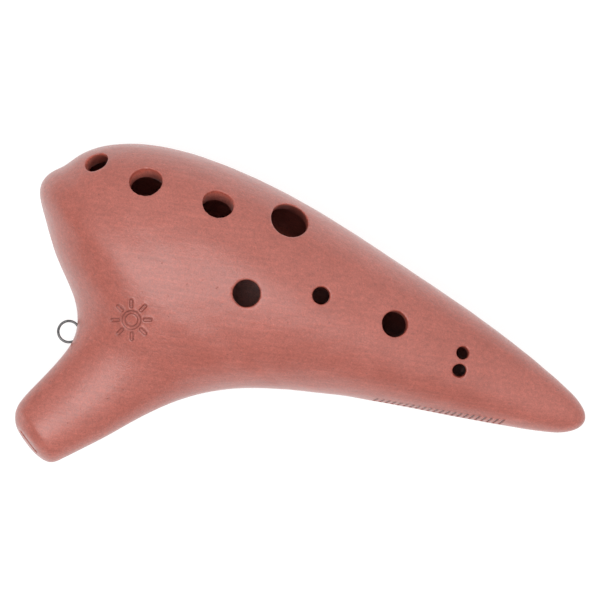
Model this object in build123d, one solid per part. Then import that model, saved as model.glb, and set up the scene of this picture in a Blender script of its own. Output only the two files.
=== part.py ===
from build123d import *
import os
from math import cos, radians, sin, sqrt

# A ten-hole alto ocarina of the Italian sweet-potato form, in bare fired clay, with a wire strap eye.
#
# The vessel's long axis runs along +X from the fat end to the tail. The beak points to -Y and the
# finger holes look up +Z. The working origin is on that axis at the fat end, in the seam plane
# between the two moulded halves. The finished pieces are moved at the end, so that the origin is
# at the bottom centre of the whole instrument.

# ---------------------------------------------------------------- driving dimensions, millimetres
BELLY_DEPTH = 20.6      # from the seam plane down to the flat that the instrument rests on
REACH = 120.0           # larger than any half of the instrument, for half-space cutters

# The outer form is a fan of upright sections. It starts across the beak's end, sweeps round the
# fat end and runs out to the tail. Each row holds the back edge's x and y, the front edge's x and
# y, where the crest stands between them (0 at the back, 1 at the front), and the crest's height
# above and below the seam plane.
SECTIONS = [
    (19.0, -60.2, 37.3, -69.2, 0.50, 8.0, 8.0),
    (22.2, -50.5, 46.3, -58.8, 0.50, 9.0, 9.2),
    (25.6, -41.0, 56.5, -46.2, 0.48, 10.6, 11.2),
    (26.4, -32.5, 67.0, -36.6, 0.46, 13.6, 14.0),
    (22.4, -24.4, 75.0, -31.6, 0.44, 17.2, 17.0),
    (13.0, -15.0, 81.5, -28.6, 0.42, 20.4, 19.4),
    (5.0, -5.2, 86.2, -26.8, 0.42, 22.7, 20.8),
    (0.5, 3.2, 89.2, -25.8, 0.42, 23.8, 21.3),
    (2.5, 8.3, 91.2, -25.1, 0.42, 24.3, 21.5),
    (4.5, 10.5, 92.3, -24.8, 0.42, 24.5, 21.5),
    (6.9, 14.2, 93.7, -24.4, 0.42, 24.8, 21.6),
    (13.4, 20.6, 96.4, -23.6, 0.43, 25.1, 21.6),
    (23.5, 25.4, 99.0, -22.9, 0.44, 25.2, 21.5),
    (46.0, 28.9, 105.0, -21.1, 0.46, 24.4, 21.0),
    (76.0, 27.3, 114.5, -18.9, 0.48, 21.6, 19.4),
    (106.0, 22.0, 126.5, -16.4, 0.50, 17.6, 16.6),
    (133.0, 16.4, 141.0, -13.5, 0.50, 13.4, 12.8),
    (153.0, 11.1, 155.0, -10.5, 0.50, 10.0, 9.6),
    (166.0, 6.8, 166.5, -7.6, 0.50, 6.7, 6.5),
    (172.2, 3.9, 172.4, -5.0, 0.50, 4.1, 4.1),
    (174.7, 1.6, 174.8, -2.6, 0.50, 2.0, 2.0),
    (175.4, 0.1, 175.4, -1.1, 0.50, 0.6, 0.6),
]

# The air chamber's sections square to the long axis: x, the front and back sides' y, and the heights
# above and below the seam plane.
CHAMBER = [
    (7.0, -0.5, 7.0, 4.5, 4.5),
    (9.5, -5.5, 11.0, 9.0, 8.5),
    (14.0, -11.0, 15.5, 12.6, 11.6),
    (22.0, -17.5, 20.0, 16.4, 14.6),
    (34.0, -23.5, 23.0, 19.2, 16.0),
    (50.0, -25.5, 24.6, 20.4, 16.0),
    (68.0, -25.0, 24.2, 20.0, 15.8),
    (86.0, -21.8, 21.9, 18.1, 14.9),
    (106.0, -16.2, 17.8, 14.7, 12.6),
    (126.0, -11.9, 13.2, 11.0, 9.8),
    (144.0, -8.2, 8.9, 7.5, 7.0),
    (156.0, -5.6, 5.6, 4.9, 4.7),
    (163.0, -3.2, 2.7, 2.6, 2.5),
]

# The beak's end leans back towards the top and its rim is rounded. Each row of the rounding holds
# how far it stands in from the end, its half width and its half height.
BEAK_END = Vector(26.05, -68.65, 0)
BEAK_HEADING = 59.7     # degrees from +X to the line from the beak's end into the vessel
BEAK_LEAN = 10.0        # degrees that the end face leans back
BEAK_ROUNDING = [
    (-0.35, 3.0, 2.4),
    (-0.15, 5.2, 4.2),
    (0.45, 7.0, 6.0),
    (1.7, 8.8, 7.3),
]

# The windway runs down from the slot in the beak's end to the window in the underside.
WINDWAY_WIDTH = 8.0
WINDWAY_HEIGHT = 1.3
WINDWAY_ENTRY_Z = 2.5   # top of the slot above the seam plane
WINDWAY_DROP = 17.8     # degrees below level
WINDWAY_LENGTH = 46.0
WINDOW_LENGTH = 6.0     # gap between the windway's exit and the edge that splits the air
LABIUM_RAMP = 24.0      # degrees between the windway's line and the ramp cut in the underside
LABIUM_RAMP_LENGTH = 16.0
LABIUM_EDGE = 0.15      # thickness left at the edge
LABIUM_TOP = 7.0        # length of the flat that is cleared above the edge

# The block is the clay ceiling of the windway, luted into a pocket in the beak.
BLOCK_WIDTH = 11.0
BLOCK_HEIGHT = 4.0
BLOCK_START = 6.0       # set back from the beak's end

# Finger holes: x, y of the rim's centre, bore, and how far the bore leans to +x and +y.
FINGER_HOLES = [
    (13.2, 15.3, 7.0, -0.46, 0.26),     # left little finger
    (29.0, 15.7, 9.6, -0.32, 0.50),     # left ring finger
    (51.2, 17.7, 9.2, -0.10, 0.55),     # left middle finger
    (72.4, 21.2, 11.3, 0.03, 0.24),     # left index finger
    (68.9, -3.6, 8.1, 0.00, -0.02),     # right index finger
    (89.3, 4.2, 5.2, 0.02, 0.06),       # right middle finger
    (112.5, 4.8, 7.7, 0.10, 0.14),      # right ring finger
    (134.2, 4.5, 3.8, 0.10, 0.12),      # right little finger, split hole
    (135.2, -0.8, 4.0, 0.02, -0.10),    # right little finger, split hole
]
BORE_LENGTH = 22.0
BORE_MIDDLE = -4.0      # height of the drill's middle above a hole's rim
THUMB_HOLES = [
    (31.0, 6.5, 9.0, -0.10, 0.10),      # left thumb
    (79.0, 8.0, 8.0, 0.06, 0.10),       # right thumb
]

# The strap eye: one wire bent to a ring, its two ends twisted together and let into the seam.
RING_CENTRE = Vector(24.6, -34.0, 0)
RING_OUTSIDE = 7.0
WIRE = 0.75
SHANK_HEADING = -35.0   # degrees from +X to the twisted ends
SHANK_LENGTH = 7.5
SHANK_TURNS = 2.5
PLUG_WIDTH = 7.8
PLUG_HEIGHT = 2.4
PLUG_DEPTH = 7.0
PLUG_OFFSET = 1.8       # from the ring's centre in to the middle of the scored-out room
PLUG_BORE = 3.0

# Joining slip fills a shallow scored channel in the rims of the two halves, round the chamber.
SLIP_INSET = 1.2
SLIP_WIDTH = 1.4
SLIP_HEIGHT = 0.8


# ---------------------------------------------------------------- the outer form and the chamber
def closed_section(plane, to_back, to_front, above, below):
    """Four quarter ellipses on a plane whose x runs from back to front and whose y is up."""
    quarters = [
        Edge.make_ellipse(to_front, above, plane, 0, 90),
        Edge.make_ellipse(to_back, above, plane, 90, 180),
        Edge.make_ellipse(to_back, below, plane, 180, 270),
        Edge.make_ellipse(to_front, below, plane, 270, 360),
    ]
    return Wire(quarters)


def upright_section(row):
    """The closed section that one row of the fan describes."""
    back_x, back_y, front_x, front_y, crest, above, below = row
    back = Vector(back_x, back_y, 0)
    chord = Vector(front_x, front_y, 0) - back
    plane = Plane(origin=back + chord * crest, x_dir=chord, z_dir=chord.cross(Vector(0, 0, 1)))
    return closed_section(plane, chord.length * crest, chord.length * (1 - crest), above, below)


def along_beak(distance, height=0.0):
    """A point on the beak's centre line, measured from its end into the vessel."""
    heading = radians(BEAK_HEADING)
    return BEAK_END + Vector(cos(heading) * distance, sin(heading) * distance, height)


def beak_section(setback, half_width, half_height):
    """One leaning section of the rounding at the beak's end."""
    heading = radians(BEAK_HEADING)
    lean = radians(BEAK_LEAN)
    across = Vector(sin(heading), -cos(heading), 0)
    inwards = Vector(cos(heading), sin(heading), 0)
    up = inwards * sin(lean) + Vector(0, 0, cos(lean))
    plane = Plane(origin=along_beak(setback), x_dir=across, z_dir=across.cross(up))
    return closed_section(plane, half_width, half_width, half_height, half_height)


def outer_form():
    """The whole outside: the rounded beak's end, the fan, and the flat that it rests on."""
    sections = [beak_section(*row) for row in BEAK_ROUNDING]
    sections += [upright_section(row) for row in SECTIONS]
    below_belly = Pos(0, 0, -BELLY_DEPTH - REACH / 2) * Box(4 * REACH, 4 * REACH, REACH)
    return Solid.make_loft(sections) - below_belly


def chamber_section(row):
    """One section of the chamber, square to the long axis."""
    x, front_y, back_y, above, below = row
    half_width = (back_y - front_y) / 2
    plane = Plane(origin=(x, (back_y + front_y) / 2, 0), x_dir=(0, 1, 0), z_dir=(1, 0, 0))
    return closed_section(plane, half_width, half_width, above, below)


def chamber_form(grown=0.0):
    """The air chamber, which leaves a nearly even wall inside the vessel, or the same form grown."""
    rows = []
    for x, front_y, back_y, above, below in CHAMBER:
        rows.append((x, front_y - grown, back_y + grown, above + grown, below + grown))
    first, last = rows[0], rows[-1]
    rows[0] = (first[0] - grown, *first[1:])
    rows[-1] = (last[0] + grown, *last[1:])
    return Solid.make_loft([chamber_section(row) for row in rows])


# ---------------------------------------------------------------- the windway and the window
def windway_frame():
    """x runs down the windway from the slot, y lies across it, and its ceiling is at z = 0."""
    heading = radians(BEAK_HEADING)
    drop = radians(WINDWAY_DROP)
    down_run = (cos(heading) * cos(drop), sin(heading) * cos(drop), -sin(drop))
    square_up = (cos(heading) * sin(drop), sin(heading) * sin(drop), cos(drop))
    return Plane(origin=along_beak(0, WINDWAY_ENTRY_Z), x_dir=down_run, z_dir=square_up)


def slab(start, end, width, floor, ceiling):
    """A straight-sided block in the windway's frame."""
    middle = Pos((start + end) / 2, 0, (floor + ceiling) / 2)
    return windway_frame() * middle * Box(end - start, width, ceiling - floor)


def windway():
    """The flat air passage from the slot in the beak's end to the window."""
    return slab(-6, WINDWAY_LENGTH + 1, WINDWAY_WIDTH, -WINDWAY_HEIGHT, 0)


def window():
    """The opening that the jet of air crosses, cut through from the underside to the chamber."""
    window_end = WINDWAY_LENGTH + WINDOW_LENGTH
    return slab(WINDWAY_LENGTH, window_end, WINDWAY_WIDTH, -REACH / 4, 7)


def labium_clearance():
    """The hollow over the window's far side, whose floor is the top of the labium."""
    window_end = WINDWAY_LENGTH + WINDOW_LENGTH
    return slab(WINDWAY_LENGTH, window_end + LABIUM_TOP, WINDWAY_WIDTH + 3, -WINDWAY_HEIGHT / 2, 10)


def labium_ramp():
    """The ramp cut in the underside, which thins the window's far side to an edge."""
    edge = WINDWAY_LENGTH + WINDOW_LENGTH
    middle = Pos(edge, 0, -WINDWAY_HEIGHT / 2 - LABIUM_EDGE)
    tilt = Rot(0, LABIUM_RAMP, 0)
    from_edge = Pos(LABIUM_RAMP_LENGTH / 2 - 1, 0, -REACH / 8)
    cutter = from_edge * Box(LABIUM_RAMP_LENGTH, WINDWAY_WIDTH, REACH / 4)
    return windway_frame() * middle * tilt * cutter


def block_pocket():
    """The room for the block above the windway, from behind the beak's lip to the chamber."""
    return slab(BLOCK_START, WINDWAY_LENGTH, BLOCK_WIDTH, 0, BLOCK_HEIGHT)


# ---------------------------------------------------------------- the holes
def bore(outside, hole, side):
    """A drill through the wall at a hole's rim; side is 1 for the top and -1 for the underside."""
    x, y, diameter, lean_x, lean_y = hole
    hits = outside.find_intersection_points(Axis((x, y, 0), (0, 0, side)))
    rim_centre = max((point for point, normal in hits), key=lambda point: point.Z * side)
    rise = sqrt(1 - lean_x ** 2 - lean_y ** 2)
    drill = Plane(origin=rim_centre, z_dir=(lean_x, lean_y, rise * side))
    return drill * Pos(0, 0, BORE_MIDDLE) * Cylinder(diameter / 2, BORE_LENGTH)


# ---------------------------------------------------------------- the strap eye and its plug
def shank_frame():
    """x runs along the twisted ends into the clay, starting at the ring's centre."""
    return Plane(origin=RING_CENTRE, x_dir=Vector(1, 0, 0).rotate(Axis.Z, SHANK_HEADING), z_dir=(0, 0, 1))


def strap_loop():
    """The wire ring, and its two ends twisted round each other."""
    ring_radius = (RING_OUTSIDE - WIRE) / 2
    ring = shank_frame() * Torus(ring_radius, WIRE / 2)
    strands = Pos(0, WIRE * 0.42, 0) * Circle(WIRE / 2) + Pos(0, -WIRE * 0.42, 0) * Circle(WIRE / 2)
    twist = Solid.extrude_linear_with_rotation(
        strands.face(), center=(0, 0, 0), normal=(0, 0, SHANK_LENGTH), angle=360 * SHANK_TURNS
    )
    shank = shank_frame() * Pos(ring_radius, 0, 0) * Rot(0, 90, 0) * twist
    return ring + shank


def plug_room():
    """The scored-out room round the ring's root and the bore for its twisted ends."""
    depth = Pos(PLUG_OFFSET, 0, 0) * Box(PLUG_DEPTH, PLUG_WIDTH, PLUG_HEIGHT)
    in_line = Pos(RING_OUTSIDE / 2 + SHANK_LENGTH / 2, 0, 0) * Rot(0, 90, 0)
    hole = in_line * Cylinder(PLUG_BORE / 2, SHANK_LENGTH + 1)
    return shank_frame() * (depth + hole)


# ---------------------------------------------------------------- the joint between the halves
def slip_ring():
    """The flat band of slip in the seam, which runs right round the chamber inside the wall."""
    band = chamber_form(SLIP_INSET + SLIP_WIDTH) - chamber_form(SLIP_INSET)
    return band & Box(4 * REACH, 4 * REACH, SLIP_HEIGHT)


# ---------------------------------------------------------------- assembly
def pieces():
    """Every separate piece by its node name, in the working frame."""
    outside = outer_form()
    loop = strap_loop()
    slip = slip_ring()
    clay = outside - chamber_form()
    for air in (windway(), window(), labium_clearance(), labium_ramp()):
        clay = clay - air

    block = clay & block_pocket()
    plug = (outside & plug_room()) - loop
    for room in (block_pocket(), plug_room(), slip):
        clay = clay - room

    above = Pos(0, 0, REACH / 2) * Box(4 * REACH, 4 * REACH, REACH)
    below = Pos(0, 0, -REACH / 2) * Box(4 * REACH, 4 * REACH, REACH)
    upper = clay & above
    for hole in FINGER_HOLES:
        upper = upper - bore(outside, hole, 1)
    lower = clay & below
    for hole in THUMB_HOLES:
        lower = lower - bore(outside, hole, -1)

    return {
        "upper_shell": upper,
        "lower_shell": lower,
        "windway_block": block,
        "joint_slip": slip,
        "loop_plug": plug,
        "strap_loop": loop,
    }


def to_bottom_centre():
    """The move that puts the origin at the bottom centre of the whole instrument."""
    box = outer_form().bounding_box()
    return Pos(-box.center().X, -box.center().Y, BELLY_DEPTH)


if __name__ == "__main__":
    os.makedirs("parts", exist_ok=True)
    move = to_bottom_centre()
    for name, piece in pieces().items():
        placed = [move * solid for solid in piece.solids()]
        export_step(placed[0] if len(placed) == 1 else Compound(children=placed), f"parts/{name}.step")
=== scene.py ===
import math

import bmesh
import bpy
import numpy as np
from mathutils import Matrix, Vector
from mathutils.bvhtree import BVHTree


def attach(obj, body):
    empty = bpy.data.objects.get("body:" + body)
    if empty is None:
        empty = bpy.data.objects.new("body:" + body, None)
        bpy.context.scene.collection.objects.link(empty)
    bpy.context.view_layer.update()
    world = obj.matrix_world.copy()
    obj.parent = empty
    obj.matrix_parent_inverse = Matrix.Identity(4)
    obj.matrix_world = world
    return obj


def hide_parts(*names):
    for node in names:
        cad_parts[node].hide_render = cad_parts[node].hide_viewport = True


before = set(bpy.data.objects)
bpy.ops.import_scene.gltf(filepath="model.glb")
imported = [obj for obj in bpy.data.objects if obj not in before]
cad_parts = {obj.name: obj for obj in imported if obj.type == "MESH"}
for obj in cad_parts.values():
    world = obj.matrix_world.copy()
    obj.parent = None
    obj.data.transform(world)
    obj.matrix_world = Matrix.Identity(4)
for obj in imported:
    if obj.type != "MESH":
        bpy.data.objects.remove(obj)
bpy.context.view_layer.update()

MM = 0.001
SEAM_Z = 20.6 * MM                       # height of the joint between the two halves
SHIFT = Vector((-87.9495, 21.4918, 20.6)) * MM   # from the vessel's own axis to the shared frame
FAR = 0.2                                # metres, well past the whole vessel

# The skin over the moulded halves.
VOXEL = 0.36 * MM
LAP = 0.02 * MM                          # how far the lower half is let into the upper one
SOFTENING = 8                            # rounds of smoothing that round the edges
MOST_FACES = 190000                      # triangles left in each half
SHARP_EDGE = math.radians(55)

# Traces of the maker's hand, in millimetres: low waves from scraping and the sunk line of the joint.
WAVE_LENGTHS = (19.0, 13.0, 9.0, 6.5)
WAVE_HEIGHT = 0.016
JOINT_HALF_WIDTH, JOINT_DEPTH = 0.45, 0.05

# The filled room round the root of the strap eye, which is set along the wire's twisted ends.
EYE_CENTRE = (24.6, -34.0)
EYE_HEADING = math.radians(-35)
FILLER_OFFSET = 1.8
FILLER_SIZE = (7.0, 7.8, 2.4)            # into the clay, along the crook and upright

# The stamp pressed in the top of the vessel: a ring and short rays round it.
STAMP_CENTRE = (40.7, -23.6)
STAMP_RING = 2.3
STAMP_RAYS = 8
STAMP_RAY_START, STAMP_RAY_END = 3.95, 5.6
STAMP_DEPTH, STAMP_HALF_WIDTH = 0.38, 0.64
STAMP_MARGIN = 1.4                       # the clay is moved this far beyond the rays
STAMP_FLOOR = 8.0                        # only clay higher than this above the joint is stamped

# The border cut in the front side near the tail: a row of short slanted strokes.
BORDER_START, BORDER_END = 115.5, 154.0
BORDER_STEP, BORDER_SLANT = 1.75, 0.8
BORDER_LOW, BORDER_HIGH = 2.6, 5.4
BORDER_DEPTH, BORDER_HALF_WIDTH = 0.30, 0.36
BORDER_BEFORE, BORDER_AFTER, BORDER_MARGIN = 1.5, 2.5, 1.2   # the clay is moved this far beyond it

# The shape of a groove, of the painted shade along the stamp's groove sides and of the stain in the
# border's beds, as shares of its half width or its depth.
GROOVE_SIDE = 0.5
BURR_PLACE, BURR_WIDTH, BURR_HEIGHT = 1.45, 0.4, 0.24
# painted shade along the sides of the stamp's grooves, where their steep walls fall into shadow
GROOVE_SHADE_PLACE, GROOVE_SHADE_WIDTH, GROOVE_SHADE_STRENGTH = 0.72, 0.26, 0.75
BORDER_STAIN_WIDTH = 0.9
FACING = 0.3                             # normals of a marked side lean at least this much outwards

# How hollows are told apart by the way across them, in millimetres.
RAY_LIFT = 0.12                          # rays start this far off the clay
WIDEST_HOLLOW = 60.0
WIDEST_BORE = 12.5                       # wider hollows are the chamber
WIDEST_SLOT = 1.6
OPEN_AIR = 99.0                          # stands for a ray that meets nothing
DEPTH_ROUNDS = 60                        # rounds of averaging that the depth mask is spread by

# Colours, and tints that a colour is multiplied by; the tints of the hollows, rims, stamp grooves and slot
# are painted light and shade.
OUTER_DEEP, OUTER_PALE = (0.35, 0.077, 0.052, 1), (0.435, 0.114, 0.084, 1)
INNER_DEEP, INNER_PALE = (0.34, 0.075, 0.051, 1), (0.42, 0.111, 0.082, 1)
SPECK = (0.13, 0.03, 0.022, 1)
# dark red-brown: stain in the border's cut strokes, and painted shade along the sides of the stamp's
# grooves
BORDER_STAIN_AND_STAMP_SHADE = (0.14, 0.026, 0.018, 1)
# painted shade: near black in the narrow windway slot
SLOT_SHADE = (0.03, 0.012, 0.01, 1)
# painted shade: darker clay inside the chamber, where little light gets in
CHAMBER_SHADE = (0.6, 0.5, 0.5, 1)
# painted light brightening the bore walls near the rim, and painted shade deeper in the bores
WALL_LIGHT, DEEP_WALL_SHADE = (1.6, 1.9, 2.0, 1), (0.45, 0.55, 0.65, 1)
# painted shade: a darker, redder line along the hole rims
RIM_SHADE = (0.97, 0.8, 0.75, 1)
STEEL_FILM, STEEL_BRIGHT = (0.075, 0.075, 0.077, 1), (0.18, 0.18, 0.182, 1)
WHITE = (1.0, 1.0, 1.0, 1)
PAPER = (0.3, 0.3, 0.3, 1)

# The studio: a sky that is brightest near the zenith, and one soft key.
SKY_PEAK = Vector((0.14, 0.27, 0.95))
SKY_SPAN = (-0.1, 1.0)                   # cosines from the peak that the glow runs between
SKY_GLOW = (0.33, 1.1)                   # the sky's strength at both
KEY_PLACE = (-40, -280, 740)
KEY_SIZE, KEY_POWER = 0.6, 2.6           # metres and watts
VESSEL_MIDDLE = (84, 0, 0)

# The camera: far away with a long lens, turned so that the tail points down to the right.
VIEW_MIDDLE = (84.1, 0.6, 0)
VIEW_WIDTH = 177 * MM
VIEW_TURN = math.radians(22.4)
LENS, SENSOR = 500, 36


# ------------------------------------------------------------------ small helpers
def on_vessel(x, y, z=0.0):
    """A point in the shared frame from millimetres on the vessel's axis, fat end and seam plane."""
    return SHIFT + Vector((x, y, z)) * MM


def new_object(name, data):
    made = bpy.data.objects.new(name, data)
    bpy.context.scene.collection.objects.link(made)
    return made


def object_from(bm, name):
    """A new object with the mesh that was built in bm, which is then freed."""
    mesh = bpy.data.meshes.new(name)
    bm.to_mesh(mesh)
    bm.free()
    return new_object(name, mesh)


def bake_modifiers(obj):
    """Replaces the object's mesh with the result of its modifiers."""
    graph = bpy.context.evaluated_depsgraph_get()
    mesh = bpy.data.meshes.new_from_object(obj.evaluated_get(graph))
    obj.modifiers.clear()
    old, obj.data = obj.data, mesh
    bpy.data.meshes.remove(old)


def welded_copy(node, name):
    """A closed copy of a CAD node's mesh, with its split corners joined."""
    bm = bmesh.new()
    bm.from_mesh(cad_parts[node].data)
    bmesh.ops.remove_doubles(bm, verts=bm.verts[:], dist=1e-7)
    for face in bm.faces:
        face.smooth = True
    return object_from(bm, name)


def combine(obj, other, operation):
    """Makes obj the solid boolean of itself with other, which is then removed."""
    cut = obj.modifiers.new("join", "BOOLEAN")
    cut.solver = "MANIFOLD"
    cut.operation = operation
    cut.object = other
    bake_modifiers(obj)
    bpy.data.objects.remove(other)


def half_space(name, low, high):
    """A large closed box between two heights."""
    bm = bmesh.new()
    bmesh.ops.create_cube(bm, size=1.0)
    for vert in bm.verts:
        vert.co.x *= 0.5
        vert.co.y *= 0.5
        vert.co.z = high if vert.co.z > 0 else low
    return object_from(bm, name)


def points_and_normals(mesh):
    """Every corner's place in millimetres on the vessel, and its normal, as arrays."""
    count = len(mesh.vertices)
    points = np.empty(count * 3, dtype=np.float32)
    mesh.vertices.foreach_get("co", points)
    normals = np.empty(count * 3, dtype=np.float32)
    mesh.vertex_normals.foreach_get("vector", normals)
    points = (points.reshape(-1, 3) - np.array(SHIFT)) / MM
    return points, normals.reshape(-1, 3)


def move_along_normals(mesh, points, normals, rise):
    """Moves every corner along its normal by a rise in millimetres, but never below the floor."""
    moved = (points + normals * rise[:, None]) * MM + np.array(SHIFT)
    moved[:, 2] = np.maximum(moved[:, 2], 0.0)
    mesh.vertices.foreach_set("co", moved.astype(np.float32).ravel())
    mesh.update()


# ------------------------------------------------------------------ the fired clay body
def remesh(obj, size):
    """Gives the body an even skin of small quads, with slightly softened edges."""
    skin = obj.modifiers.new("skin", "REMESH")
    skin.mode = "VOXEL"
    skin.voxel_size = size
    skin.use_smooth_shade = True
    soft = obj.modifiers.new("soft", "SMOOTH")
    soft.factor = 0.5
    soft.iterations = SOFTENING
    bake_modifiers(obj)


def hand_finish(body):
    """Slight waves that run several ways, and the faint sunk line of the joint between the halves."""
    points, normals = points_and_normals(body.data)
    waves = np.zeros(len(points))
    for turn, length in enumerate(WAVE_LENGTHS):
        heading = 1.1 + 2.4 * turn
        along = points[:, 0] * math.cos(heading) + points[:, 1] * math.sin(heading)
        across = points[:, 2] * 1.3 + points[:, 1] * math.cos(heading) * 0.7
        waves += np.sin(along * 2 * math.pi / length + turn) * np.sin(across * 2 * math.pi / length)
    joint = np.exp(-((points[:, 2]) / JOINT_HALF_WIDTH) ** 2)
    move_along_normals(body.data, points, normals, waves * WAVE_HEIGHT - joint * JOINT_DEPTH)


def clay_body():
    """Both moulded halves and the eye's filler as one body, so that the outside runs on over joints."""
    body = welded_copy("upper_shell", "body")
    lower = welded_copy("lower_shell", "lower")
    lower.data.transform(Matrix.Translation((0, 0, LAP)))
    combine(body, lower, "UNION")
    combine(body, welded_copy("loop_plug", "plug"), "UNION")
    remesh(body, VOXEL)
    hand_finish(body)
    return body


def filler_room(name):
    """The straight-sided room in the crook that the filler takes up."""
    bm = bmesh.new()
    bmesh.ops.create_cube(bm, size=1.0)
    turn = Matrix.Rotation(EYE_HEADING, 4, "Z")
    deep, long, high = FILLER_SIZE
    for vert in bm.verts:
        place = Vector((vert.co.x * deep + FILLER_OFFSET, vert.co.y * long, vert.co.z * high))
        vert.co = on_vessel(*EYE_CENTRE) + (turn @ place) * MM
    return object_from(bm, name)


def split_body(body):
    """The upper half, the lower half and the filler of the body as three closed pieces."""
    filler = new_object("eye_filler", body.data.copy())
    combine(filler, filler_room("room"), "INTERSECT")
    combine(body, filler_room("room"), "DIFFERENCE")
    upper = new_object("upper_half", body.data.copy())
    combine(upper, half_space("above", SEAM_Z, FAR), "INTERSECT")
    combine(body, half_space("below", -FAR, SEAM_Z), "INTERSECT")
    body.name = "lower_half"
    return upper, body, filler


def thin_out(obj):
    """Leaves fewer faces where the surface is smooth, so that each half is a handy mesh."""
    obj.data.calc_loop_triangles()
    triangles = len(obj.data.loop_triangles)
    if triangles > MOST_FACES:
        fewer = obj.modifiers.new("fewer", "DECIMATE")
        fewer.ratio = MOST_FACES / triangles
        bake_modifiers(obj)
    for face in obj.data.polygons:
        face.use_smooth = True
    obj.data.set_sharp_from_angle(angle=SHARP_EDGE)


# ------------------------------------------------------------------ marks pressed and cut in the clay
def from_segment(points, start, end):
    """The distance of flat points from a straight stroke."""
    start = np.array(start)
    run = np.array(end) - start
    share = np.clip((points - start) @ run / (run @ run), 0, 1)
    return np.linalg.norm(points - start - share[:, None] * run, axis=1)


def stamp_distance(points):
    """How far each point is, seen from above, from the nearest line of the stamp."""
    flat = points[:, :2] - np.array(STAMP_CENTRE)
    nearest = np.abs(np.linalg.norm(flat, axis=1) - STAMP_RING)
    for ray in range(STAMP_RAYS):
        heading = 2 * math.pi * (ray + 0.5) / STAMP_RAYS
        out = np.array((math.cos(heading), math.sin(heading)))
        nearest = np.minimum(nearest, from_segment(flat, out * STAMP_RAY_START, out * STAMP_RAY_END))
    return nearest


def border_distance(points):
    """How far each point is, seen from the front, from the nearest stroke of the border."""
    flat = points[:, (0, 2)]
    nearest = np.full(len(points), np.inf)
    for start in np.arange(BORDER_START, BORDER_END, BORDER_STEP):
        stroke = from_segment(flat, (start, BORDER_LOW), (start + BORDER_SLANT, BORDER_HIGH))
        nearest = np.minimum(nearest, stroke)
    return nearest


def groove(distance, half_width, depth):
    """A groove with a flat bed, steep sides and a low burr along both of them."""
    side = np.clip((1 - distance / half_width) / GROOVE_SIDE, 0, 1)
    sunk = side * side * (3 - 2 * side)
    burr = np.exp(-((distance - BURR_PLACE * half_width) / (BURR_WIDTH * half_width)) ** 2)
    return burr * depth * BURR_HEIGHT - sunk * depth


def near_stamp(points, normals):
    """Which points are on the outside of the top and close to the stamp."""
    flat = np.linalg.norm(points[:, :2] - np.array(STAMP_CENTRE), axis=1)
    on_top = (normals[:, 2] > FACING) & (points[:, 2] > STAMP_FLOOR)
    return (flat < STAMP_RAY_END + STAMP_MARGIN) & on_top


def near_border(points, normals):
    """Which points are on the outside of the front and close to the border."""
    along = (points[:, 0] > BORDER_START - BORDER_BEFORE) & (points[:, 0] < BORDER_END + BORDER_AFTER)
    high = (points[:, 2] > BORDER_LOW - BORDER_MARGIN) & (points[:, 2] < BORDER_HIGH + BORDER_MARGIN)
    return along & high & (normals[:, 1] < -FACING)


def make_finer_near_marks(obj, cuts):
    """Divides the faces under the marks, so that narrow grooves hold their shape."""
    points, normals = points_and_normals(obj.data)
    wanted = near_stamp(points, normals) | near_border(points, normals)
    bm = bmesh.new()
    bm.from_mesh(obj.data)
    edges = [edge for edge in bm.edges if wanted[edge.verts[0].index] and wanted[edge.verts[1].index]]
    bmesh.ops.subdivide_edges(bm, edges=edges, cuts=cuts, use_grid_fill=True)
    bm.to_mesh(obj.data)
    bm.free()


def cut_marks(obj):
    """Presses the stamp and cuts the border into the upper half."""
    make_finer_near_marks(obj, 2)
    points, normals = points_and_normals(obj.data)
    rise = np.zeros(len(points))
    stamp = near_stamp(points, normals)
    rise[stamp] = groove(stamp_distance(points[stamp]), STAMP_HALF_WIDTH, STAMP_DEPTH)
    border = near_border(points, normals)
    rise[border] = groove(border_distance(points[border]), BORDER_HALF_WIDTH, BORDER_DEPTH)
    move_along_normals(obj.data, points, normals, rise)


# ------------------------------------------------------------------ masks that the clay is tinted by
def smoothed(mesh, values, rounds):
    """The values averaged with their neighbours' over the mesh, a number of times."""
    pairs = np.empty(len(mesh.edges) * 2, dtype=np.int64)
    mesh.edges.foreach_get("vertices", pairs)
    pairs = pairs.reshape(-1, 2)
    degree = np.bincount(pairs.ravel(), minlength=len(values)) + 1.0
    for _ in range(rounds):
        total = values.copy()
        total += np.bincount(pairs[:, 0], weights=values[pairs[:, 1]], minlength=len(values))
        total += np.bincount(pairs[:, 1], weights=values[pairs[:, 0]], minlength=len(values))
        values = total / degree
    return values


def add_mask(mesh, name, values):
    layer = mesh.attributes.new(name, "FLOAT", "POINT")
    layer.data.foreach_set("value", values.astype(np.float32))


def tree_of(pieces):
    """All faces of the pieces in one tree that rays can be cast at."""
    places = []
    faces = []
    for piece in pieces:
        offset = len(places)
        places += [vert.co for vert in piece.data.vertices]
        faces += [[index + offset for index in face.vertices] for face in piece.data.polygons]
    return BVHTree.FromPolygons(places, faces)


def clear_way(tree, points, normals):
    """How far each corner's normal goes before it meets the clay again, in millimetres."""
    reach = np.full(len(points), OPEN_AIR)
    starts = (points + normals * RAY_LIFT) * MM + np.array(SHIFT)
    for index in range(len(points)):
        hit = tree.ray_cast(Vector(starts[index]), Vector(normals[index]), WIDEST_HOLLOW * MM)
        if hit[0] is not None:
            reach[index] = hit[3] / MM
    return reach


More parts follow.
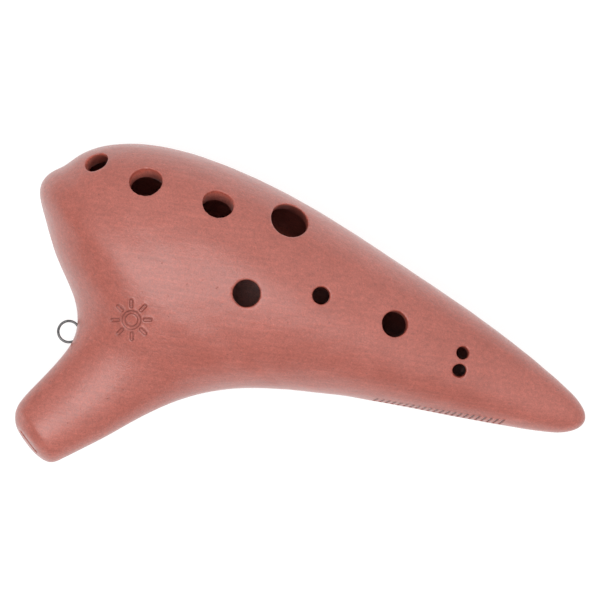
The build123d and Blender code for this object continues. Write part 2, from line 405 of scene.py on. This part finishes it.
def border_stain_and_stamp_shade_amounts(points, normals):
    """How dark the clay is made: painted shade along the sides of the stamp's grooves, and stain in the
    border's beds.
    """
    border_stain_and_stamp_shade = np.zeros(len(points))
    stamp = near_stamp(points, normals)
    to_side = stamp_distance(points[stamp]) / STAMP_HALF_WIDTH - GROOVE_SHADE_PLACE
    border_stain_and_stamp_shade[stamp] = GROOVE_SHADE_STRENGTH * np.exp(-(to_side / GROOVE_SHADE_WIDTH) ** 2)
    border = near_border(points, normals)
    to_bed = border_distance(points[border]) / (BORDER_STAIN_WIDTH * BORDER_HALF_WIDTH)
    border_stain_and_stamp_shade[border] = np.exp(-to_bed ** 4)
    return border_stain_and_stamp_shade


def add_masks(obj, tree):
    """Where each part of the clay is: chamber, bore (a hole's wall), depth in it, windway slot and rim."""
    mesh = obj.data
    points, normals = points_and_normals(mesh)
    reach = clear_way(tree, points, normals)
    inside = (reach < WIDEST_HOLLOW).astype(float)
    depth = np.clip(2 * smoothed(mesh, inside, DEPTH_ROUNDS) - 1, 0, 1)
    chamber = smoothed(mesh, inside * (reach > WIDEST_BORE), 2) * depth
    edge = smoothed(mesh, inside, 4)
    add_mask(mesh, "depth", depth)
    add_mask(mesh, "chamber", chamber)
    add_mask(mesh, "bore", smoothed(mesh, inside, 2) - chamber)
    add_mask(mesh, "slot", smoothed(mesh, (reach < WIDEST_SLOT).astype(float), 1))
    add_mask(mesh, "rim", np.clip(4 * edge * (1 - edge), 0, 1))
    # stain in the border's beds, and painted shade along the stamp's groove sides
    add_mask(mesh, "border_stain_and_stamp_shade", border_stain_and_stamp_shade_amounts(points, normals))


# ------------------------------------------------------------------ materials
class Nodes:
    """A short way to build a material's node tree."""

    def __init__(self, name):
        self.material = bpy.data.materials.new(name)
        self.material.use_nodes = True
        self.tree = self.material.node_tree
        self.shader = self.tree.nodes["Principled BSDF"]

    def add(self, kind, settings=(), **inputs):
        """A node with its settings and inputs; an input may be a value or another node's socket."""
        node = self.tree.nodes.new(kind)
        for key, value in dict(settings).items():
            setattr(node, key, value)
        for key, value in inputs.items():
            self.feed(node.inputs[key.replace("_", " ")], value)
        return node

    def feed(self, socket, value):
        """Links a node's output to the socket, or sets the socket to a plain value."""
        if isinstance(value, bpy.types.NodeSocket):
            self.tree.links.new(value, socket)
        else:
            socket.default_value = value

    def math(self, operation, first, second=0.0):
        node = self.add("ShaderNodeMath", {"operation": operation})
        self.feed(node.inputs[0], first)
        self.feed(node.inputs[1], second)
        return node.outputs[0]

    def mix(self, blend, amount, first, second):
        """Two colours mixed; amount, first and second may be sockets."""
        node = self.add("ShaderNodeMix", {"data_type": "RGBA", "blend_type": blend})
        self.feed(node.inputs[0], amount)
        self.feed(node.inputs[6], first)
        self.feed(node.inputs[7], second)
        return node.outputs[2]

    def spread(self, value, low, high, to_low, to_high):
        """A value's span from low to high, laid on the span from to_low to to_high."""
        limits = {"From_Min": low, "From_Max": high, "To_Min": to_low, "To_Max": to_high}
        return self.add("ShaderNodeMapRange", Value=value, **limits).outputs[0]

    def noise(self, place, scale, detail=3.0, roughness=0.5):
        """Soft random values about a half; scale is how many waves there are to the metre."""
        inputs = {"Vector": place, "Scale": scale, "Detail": detail, "Roughness": roughness}
        return self.add("ShaderNodeTexNoise", **inputs).outputs["Fac"]

    def place(self):
        return self.add("ShaderNodeTexCoord").outputs["Object"]

    def mask(self, name):
        return self.add("ShaderNodeAttribute", {"attribute_name": name}).outputs["Fac"]


def stretched(nodes, place, heading, scale):
    """The place turned about Z and stretched, for marks that run one way."""
    turned = nodes.add("ShaderNodeMapping", Vector=place, Rotation=(0, 0, math.radians(heading)))
    return nodes.add("ShaderNodeMapping", Vector=turned.outputs[0], Scale=scale).outputs[0]


def tinted_by_masks(nodes, colour):
    """The clay's colour with painted light near the bore rims, painted shade deeper in the bores, in the
    chamber, along the rims, along the stamp's groove sides and in the windway slot, and stain in the
    border's grooves.
    """
    # painted light on the bore walls near the rim, going over to painted shade deeper in
    wall = nodes.mix("MIX", nodes.mask("depth"), WALL_LIGHT, DEEP_WALL_SHADE)
    # painted shade inside the chamber
    colour = nodes.mix("MULTIPLY", nodes.mask("chamber"), colour, CHAMBER_SHADE)
    colour = nodes.mix("MULTIPLY", nodes.mask("bore"), colour, wall)
    # painted shade along the hole rims
    colour = nodes.mix("MULTIPLY", nodes.mask("rim"), colour, RIM_SHADE)
    # stain in the border's strokes, and painted shade along the stamp's groove sides
    colour = nodes.mix("MIX", nodes.mask("border_stain_and_stamp_shade"), colour, BORDER_STAIN_AND_STAMP_SHADE)
    # painted shade in the windway slot
    return nodes.mix("MIX", nodes.mask("slot"), colour, SLOT_SHADE)


def clay_material(name, deep, pale, masks=True):
    """Bare fired clay, burnished by hand: sandy grain, cloudy tone, long polishing streaks."""
    nodes = Nodes(name)
    place = nodes.place()
    clouds = nodes.noise(place, 26.0, 4.0, 0.55)
    patches = nodes.noise(place, 140.0, 5.0, 0.6)
    grain = nodes.noise(place, 2300.0, 3.0, 0.7)
    sand = nodes.noise(place, 900.0, 4.0, 0.8)
    streaks = nodes.noise(stretched(nodes, place, -14, (0.05, 1.0, 1.0)), 1100.0, 3.0, 0.6)
    cells = nodes.add("ShaderNodeTexVoronoi", Vector=place, Scale=620.0).outputs["Distance"]
    some = nodes.spread(nodes.noise(place, 330.0, 1.0), 0.55, 0.62, 0.0, 1.0)
    specks = nodes.math("MULTIPLY", nodes.spread(cells, 0.06, 0.16, 0.55, 0.0), some)

    cloudy = nodes.spread(clouds, 0.3, 0.7, 0.0, 0.6)
    patchy = nodes.spread(patches, 0.3, 0.7, 0.0, 0.4)
    colour = nodes.mix("MIX", nodes.math("ADD", cloudy, patchy), deep, pale)
    colour = nodes.mix("MULTIPLY", 1.0, colour, nodes.spread(streaks, 0.3, 0.7, 0.90, 1.08))
    colour = nodes.mix("MULTIPLY", 1.0, colour, nodes.spread(grain, 0.3, 0.7, 0.80, 1.18))
    colour = nodes.mix("MULTIPLY", 1.0, colour, nodes.spread(sand, 0.35, 0.65, 0.88, 1.12))
    colour = nodes.mix("MIX", specks, colour, SPECK)
    rough = nodes.spread(patches, 0.3, 0.7, 0.38, 0.48)
    rough = nodes.math("ADD", rough, nodes.spread(grain, 0.3, 0.7, -0.04, 0.06))
    if masks:
        # painted light and shade on the bore walls, painted shade in the chamber, at the rims, along the
        # stamp's groove sides and in the slot, and stain in the border
        colour = tinted_by_masks(nodes, colour)
        rough = nodes.math("ADD", rough, nodes.math("MULTIPLY", nodes.mask("chamber"), 0.3))
        rough = nodes.math("SUBTRACT", rough, nodes.math("MULTIPLY", nodes.mask("rim"), 0.12))

    height = nodes.math("ADD", nodes.math("MULTIPLY", grain, 0.5), nodes.math("MULTIPLY", sand, 0.7))
    height = nodes.math("ADD", height, nodes.math("MULTIPLY", streaks, 0.35))
    height = nodes.math("SUBTRACT", height, specks)
    bump = nodes.add("ShaderNodeBump", Strength=0.8, Distance=0.12 * MM, Height=height)
    nodes.feed(nodes.shader.inputs["Base Color"], colour)
    nodes.feed(nodes.shader.inputs["Roughness"], rough)
    nodes.feed(nodes.shader.inputs["Normal"], bump.outputs[0])
    nodes.feed(nodes.shader.inputs["Coat Normal"], bump.outputs[0])
    nodes.shader.inputs["Coat Weight"].default_value = 0.7
    nodes.shader.inputs["Coat Roughness"].default_value = 0.26
    return nodes.material


def steel_material(name):
    """Dull wire: grey with darker film, drawn marks and uneven polish."""
    nodes = Nodes(name)
    place = nodes.place()
    film = nodes.noise(place, 600.0, 4.0, 0.6)
    marks = nodes.noise(place, 5200.0, 2.0, 0.6)
    polish = nodes.spread(film, 0.35, 0.65, 0.0, 1.0)
    bump = nodes.add("ShaderNodeBump", Strength=0.4, Distance=0.02 * MM, Height=marks)
    nodes.feed(nodes.shader.inputs["Base Color"], nodes.mix("MIX", polish, STEEL_FILM, STEEL_BRIGHT))
    nodes.feed(nodes.shader.inputs["Roughness"], nodes.spread(film, 0.3, 0.7, 0.30, 0.46))
    nodes.feed(nodes.shader.inputs["Normal"], bump.outputs[0])
    nodes.shader.inputs["Metallic"].default_value = 1.0
    return nodes.material


def wear(piece, material):
    """Gives the whole piece one material."""
    piece.data.materials.clear()
    piece.data.materials.append(material)


# ------------------------------------------------------------------ the floor, light and camera
def floor():
    """A wide sheet of pale paper that glows a little, so that it stays nearly white."""
    bm = bmesh.new()
    bmesh.ops.create_grid(bm, x_segments=2, y_segments=2, size=3.0)
    sheet = object_from(bm, "floor")
    paper = Nodes("floor_paper")
    paper.shader.inputs["Base Color"].default_value = PAPER
    paper.shader.inputs["Roughness"].default_value = 0.9
    paper.shader.inputs["Emission Color"].default_value = WHITE
    paper.shader.inputs["Emission Strength"].default_value = 0.8
    wear(sheet, paper.material)


def sky():
    """A white world whose strength falls off smoothly from its peak."""
    world = bpy.data.worlds.new("studio")
    bpy.context.scene.world = world
    world.use_nodes = True
    tree = world.node_tree
    heading = tree.nodes.new("ShaderNodeTexCoord").outputs["Generated"]
    overhead = tree.nodes.new("ShaderNodeVectorMath")
    overhead.operation = "DOT_PRODUCT"
    overhead.inputs[1].default_value = SKY_PEAK.normalized()
    glow = tree.nodes.new("ShaderNodeMapRange")
    glow.interpolation_type = "SMOOTHSTEP"
    for key, limit in zip(("From Min", "From Max", "To Min", "To Max"), SKY_SPAN + SKY_GLOW):
        glow.inputs[key].default_value = limit
    background = tree.nodes["Background"]
    background.inputs["Color"].default_value = WHITE
    tree.links.new(heading, overhead.inputs[0])
    tree.links.new(overhead.outputs["Value"], glow.inputs["Value"])
    tree.links.new(glow.outputs[0], background.inputs["Strength"])


def key_light():
    """One soft disk of light, high up on the beak's side, aimed at the vessel's middle."""
    data = bpy.data.lights.new("key", "AREA")
    data.shape = "DISK"
    data.size = KEY_SIZE
    data.energy = KEY_POWER
    lamp = new_object("key", data)
    lamp.location = on_vessel(*KEY_PLACE)
    lamp.rotation_mode = "QUATERNION"
    lamp.rotation_quaternion = (on_vessel(*VESSEL_MIDDLE) - lamp.location).to_track_quat("-Z", "Y")


def studio():
    """The sky, the key and a plain view transform."""
    sky()
    key_light()
    view = bpy.context.scene.view_settings
    view.view_transform = "Standard"
    view.look = "None"


def camera():
    """Straight down on the seam plane, with the vessel's tail pointing down to the right."""
    data = bpy.data.cameras.new("camera")
    data.lens = LENS
    data.sensor_width = SENSOR
    data.clip_end = 20
    cam = new_object("camera", data)
    right = Vector((math.cos(VIEW_TURN), math.sin(VIEW_TURN), 0))
    up = Vector((-math.sin(VIEW_TURN), math.cos(VIEW_TURN), 0))
    pose = Matrix((right, up, right.cross(up))).transposed().to_4x4()
    pose.translation = on_vessel(*VIEW_MIDDLE) + Vector((0, 0, VIEW_WIDTH * LENS / SENSOR))
    cam.matrix_world = pose
    bpy.context.scene.camera = cam


# ------------------------------------------------------------------ the build
upper, lower, filler = split_body(clay_body())
cut_marks(upper)
whole = tree_of((upper, lower))
clay = clay_material("terracotta", OUTER_DEEP, OUTER_PALE)
for piece, node in ((upper, "upper_shell"), (lower, "lower_shell")):
    thin_out(piece)
    add_masks(piece, whole)
    wear(piece, clay)
    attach(piece, "root")
    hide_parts(node)

inner_clay = clay_material("inner_clay", INNER_DEEP, INNER_PALE, masks=False)
thin_out(filler)
wear(filler, inner_clay)
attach(filler, "root")
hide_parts("loop_plug")
for node in ("windway_block", "joint_slip"):
    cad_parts[node].material_slots[0].material = inner_clay
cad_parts["strap_loop"].material_slots[0].material = steel_material("steel_wire")

floor()
studio()
camera()
